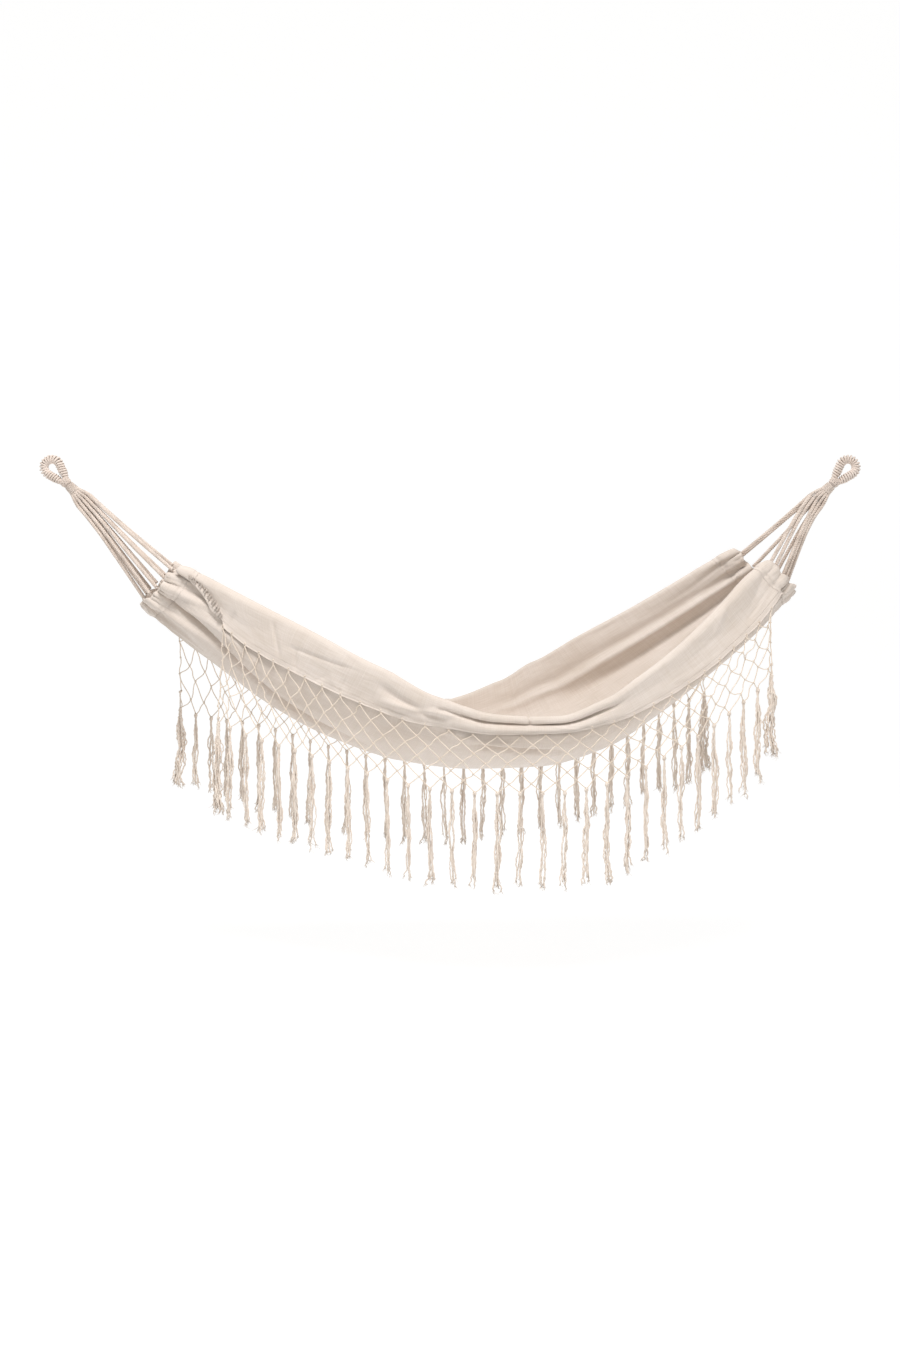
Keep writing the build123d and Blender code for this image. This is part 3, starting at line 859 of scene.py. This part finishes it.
# Side, x of the two ends, and the net's height at its left and right ends.
FRONT_NET = (-1, 0.458, 1.850, (0.236, 0.162))
REAR_NET = (1, 0.322, 1.725, (0.228, 0.222))


def tassel_hinge(name):
    """Where a corner tassel is tied on and sways from."""
    low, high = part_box(f"{name}_corner_tassel")
    return np.array([(low[0] + high[0]) / 2, (low[1] + high[1]) / 2, high[2]])


def low_corner(name, column):
    """How much deeper the rear net hangs at its left end; its tassels are shorter by as much."""
    t = 2 * column / (NET_COLUMNS - 1) - 1
    return 0.045 * ramp(-t, 0.60, 1.0) if name == "rear" else 0.0


def net_knots(name, net, edge):
    """Place of every knot by column and row, hung from the drawn cloth's edge."""
    _, x_left, x_right, end_drops = net
    order = np.argsort(edge[:, 0])
    edge = edge[order]
    knots = {}
    for half_column in range(2 * NET_COLUMNS - 1):
        column = half_column / 2
        t = 2 * column / (NET_COLUMNS - 1) - 1
        warped = t + NET_SWELL * math.sin(math.pi * t) / math.pi
        x = (x_left + x_right) / 2 + warped * (x_right - x_left) / 2
        top = np.array([np.interp(x, edge[:, 0], edge[:, k]) for k in range(3)])
        end_drop = end_drops[0] if t < 0 else end_drops[1]
        drop = NET_DROP + (end_drop - NET_DROP) * abs(t) ** 1.3 + low_corner(name, column)
        # Towards its ends the net is drawn askew: one way of the twine steep, the other flat.
        askew = t * t * (half_column % 2)
        top = top + np.array([0.008, 0.0, -0.012 if t < 0 else 0.006]) * askew
        for row in range(NET_ROWS + 1):
            down = row / NET_ROWS
            knots[column, row] = top + np.array(
                [-NET_SWAY * math.sin(math.pi * t) * down, 0, -NET_START - drop * down])
    # The two lowest corners hang straight under the corner tassels' hinges.
    for corner, end in (("left", 0), ("right", NET_COLUMNS - 1)):
        shift = tassel_hinge(f"{name}_{corner}") - knots[end, NET_ROWS]
        shift[2] = 0.0
        for column, row in knots:
            near = max(0.0, 1 - abs(column - end) / 4)
            knots[column, row] = knots[column, row] + shift * near * row / NET_ROWS
    return knots


def slack_bar(a, b, slack, lean, points=7):
    """Twine from one knot to another, hanging by this share of its length."""
    t = np.linspace(0, 1, points)[:, None]
    run = np.linalg.norm(b - a)
    level = 1 - abs(b[2] - a[2]) / run
    drop = 4 * t * (1 - t) * run * slack * (0.25 + level)
    bend = np.sin(2 * math.pi * t) * run * 0.035 * lean
    down, side = np.array([0, 0, -1.0]), np.array([1.0, 0, 0])
    return a + (b - a) * t + down * drop + side * bend + down * bend * 0.6


def add_knot(mesh, place, turn, size=1.0):
    """Two tight turns of twine with the ends crossing under them."""
    angle = np.linspace(0, 3.6 * math.pi, 15)
    radius = 0.0014 * size
    axis = np.array([math.cos(turn), 0.0, math.sin(turn)])
    other = np.array([-math.sin(turn), 0.0, math.cos(turn)])
    spiral = (
        place
        + axis * ((angle / angle[-1] - 0.5) * 0.0034 * size)[:, None]
        + other * (radius * np.cos(angle))[:, None]
        + np.array([0, 1.0, 0]) * (radius * np.sin(angle))[:, None]
    )
    add_tube(mesh, spiral, TWINE_R * 1.05 * size, 5)


def add_net(name, net, edge):
    """The knotted net of the front or the rear, and the places of its knots."""
    rng = np.random.default_rng(SEED + (1 if net[0] < 0 else 2))
    knots = net_knots(name, net, edge)
    for key in knots:
        column, row = key
        if row not in (0, NET_ROWS):
            knots[key] = knots[key] + rng.normal(0, 1, 3) * (0.0016, 0.0006, 0.0016)
    mesh = Mesh()
    last = NET_COLUMNS - 1
    used = set()
    for column in range(NET_COLUMNS):
        for lean, layer, border in ((0.5, -1, last), (-0.5, 1, 0)):
            lean = 0.0 if column == border else lean
            route = [(column + (lean if row % 2 else 0), row) for row in range(NET_ROWS + 1)]
            offset = np.array([0.0, layer * 0.0009, 0.0])
            path = []
            for a, b in zip(route, route[1:]):
                used.update((a, b))
                near_end = abs(2 * column / last - 1) ** 2
                slack = rng.uniform(0.01, 0.05) + 0.10 * near_end * rng.uniform(0.4, 1.0)
                bar = slack_bar(knots[a] + offset, knots[b] + offset, slack, rng.normal())
                path.append(bar if b[1] == NET_ROWS else bar[:-1])
            add_tube(mesh, np.concatenate(path), TWINE_R, 5)
    for key in sorted(used):
        add_knot(mesh, knots[key], rng.uniform(-0.6, 0.6), 1.25 if key[1] == NET_ROWS else 1.0)
    for column in range(NET_COLUMNS):
        top = knots[column, 0]
        t = np.linspace(0, 2 * math.pi, 13)[:, None]
        loop = top + np.array([0, 0, 0.0045]) + np.array([0.0022, 0, 0]) * np.sin(t)
        loop = loop + np.array([0, 0, 0.0055]) * -np.cos(t) + np.array([0, 0.0021, 0]) * np.cos(t)
        add_tube(mesh, loop, TWINE_R * 0.9, 5)
    piece = mesh.build(f"{name}_net_mesh", TWINE)
    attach(piece, "sling")
    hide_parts(f"{name}_net")
    return piece, knots


# ---------------------------------------------------------------- tassels
def add_tassel(mesh, top, length, radius, yarns, rng):
    """Loose twisted yarns hanging from a knot, kinked, with frayed ends."""
    add_knot(mesh, top + np.array([0, 0, -0.003]), rng.uniform(1.2, 1.9), 1.9)
    step = 0.005
    tilt = rng.normal(0, 0.007, 2)
    common = rng.uniform(0, 6.28, 4)
    for k in range(yarns):
        own = length * rng.uniform(0.90, 1.03)
        z = np.arange(0.0, own, step)
        down = z / length
        angle = 2 * math.pi * k / yarns + rng.normal(0, 0.3) + rng.normal(2.0, 1.5) * down
        opened = 0.22 + 0.62 * ramp(down, 0.02, 0.35) + 0.35 * ramp(down, 0.86, 1.0)
        wave = np.sin(2 * math.pi * z / rng.uniform(0.045, 0.095) + rng.uniform(0, 6.28))
        spread = radius * opened * (1 + 0.45 * wave) * rng.uniform(0.6, 1.05)
        kink = 0.13 * radius * np.sin(2 * math.pi * z / rng.uniform(0.012, 0.022) + 2 * k)
        sway_x = 0.28 * radius * np.sin(2 * math.pi * down * 1.1 + common[0]) * ramp(down, 0, 0.4)
        sway_y = 0.35 * radius * np.sin(2 * math.pi * down * 0.9 + common[1]) * ramp(down, 0, 0.4)
        curl = 0.0030 * ramp(down, 0.86, 1.0) * np.sin(2 * math.pi * z / 0.019 + 3 * k)
        x = (spread + kink + curl) * np.cos(angle) + sway_x + tilt[0] * z
        y = (spread + kink + curl) * np.sin(angle) + sway_y + tilt[1] * z
        path = top + np.stack([x, y, -0.004 - z], axis=1)
        thick = rng.uniform(0.0013, 0.0020)
        plump = 1 + 0.08 * np.sin(2 * math.pi * z / 0.011 + k) + 0.06 * np.sin(z * 160 + 2 * k)
        width = thick * plump * (0.8 + 0.3 * ramp(down, 0.0, 0.3))
        width[-1] *= 0.75
        add_tube(mesh, path, width, 5)
        for _ in range(4):
            t = np.linspace(0, 1, 6)[:, None]
            out = np.array([rng.normal(0, 1), rng.normal(0, 1), 0]) * 0.0042
            fibre = path[-2] + out * t ** 1.2 + np.array([0, 0, -1]) * t * rng.uniform(0.006, 0.014)
            fibre = fibre + np.array([1.0, 0.6, 0]) * 0.0015 * np.sin(7 * t + k)
            add_tube(mesh, fibre, np.linspace(0.0007, 0.0004, 6), 3)


TASSEL_LENGTH, TASSEL_R = 0.228, 0.0070
BUNDLE_R, BUNDLE_YARNS = 0.0125, 15
BUNDLE_LENGTHS = {"front_left": 0.225, "front_right": 0.195, "rear_left": 0.200, "rear_right": 0.200}


def add_tassels(name, knots, seed):
    """A tassel on each of the net's lowest knots but the two at the corners."""
    rng = np.random.default_rng(SEED + seed)
    mesh = Mesh()
    for column in range(1, NET_COLUMNS - 1):
        length = TASSEL_LENGTH * rng.uniform(0.96, 1.02) - low_corner(name, column)
        add_tassel(mesh, knots[column, NET_ROWS], length, TASSEL_R, int(rng.integers(5, 8)), rng)
    piece = mesh.build(f"{name}_tassels_yarns", YARN)
    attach(piece, "sling")
    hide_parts(f"{name}_tassels")
    return piece


def add_corner_tassel(name, top, seed):
    """A thick bundle of yarns that sways from its hinge, on a short twist where it hangs lower."""
    rng = np.random.default_rng(SEED + seed)
    mesh = Mesh()
    hinge = tassel_hinge(name)
    if hinge[2] - top[2] > 0.008:
        add_rope(mesh, np.linspace(hinge, top, 8), 0.0042, 0.010, strands=2, sides=6)
        add_knot(mesh, hinge, 1.4, 1.5)
    add_tassel(mesh, top, BUNDLE_LENGTHS[name], BUNDLE_R, BUNDLE_YARNS, rng)
    piece = mesh.build(f"{name}_corner_bundle", YARN)
    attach(piece, f"{name}_tassel")
    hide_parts(f"{name}_corner_tassel")
    return piece


# ---------------------------------------------------------------- the whole scene
add_camera()
add_stage()

for end, side, routes, groups in (
    ("left", 1, LEFT_CORDS, LEFT_GROUPS), ("right", -1, RIGHT_CORDS, RIGHT_GROUPS)
):
    lines = [
        add_harness_cord(f"{end}_harness_cord_{k}", route, k)
        for k, route in enumerate(grouped(routes, groups), start=1)
    ]
    throat = add_end(end, side)
    add_crown(end, side, throat, lines)

bed, front_edge_line, rear_edge_line = add_bed()
companions = [
    add_hem("left", END_LEFT, HEM_LEFT + HEM_OVERLAP),
    add_hem("right", END_RIGHT, HEM_RIGHT - HEM_OVERLAP),
]
for seed, (name, net, edge_line) in enumerate(
    (("front", FRONT_NET, front_edge_line), ("rear", REAR_NET, rear_edge_line))
):
    piece, knots = add_net(name, net, edge_line)
    companions += [piece, add_tassels(name, knots, 10 + seed)]
    for corner, column in (("left", 0), ("right", NET_COLUMNS - 1)):
        companions.append(
            add_corner_tassel(f"{name}_{corner}", knots[column, NET_ROWS], 20 + 2 * seed + column)
        )
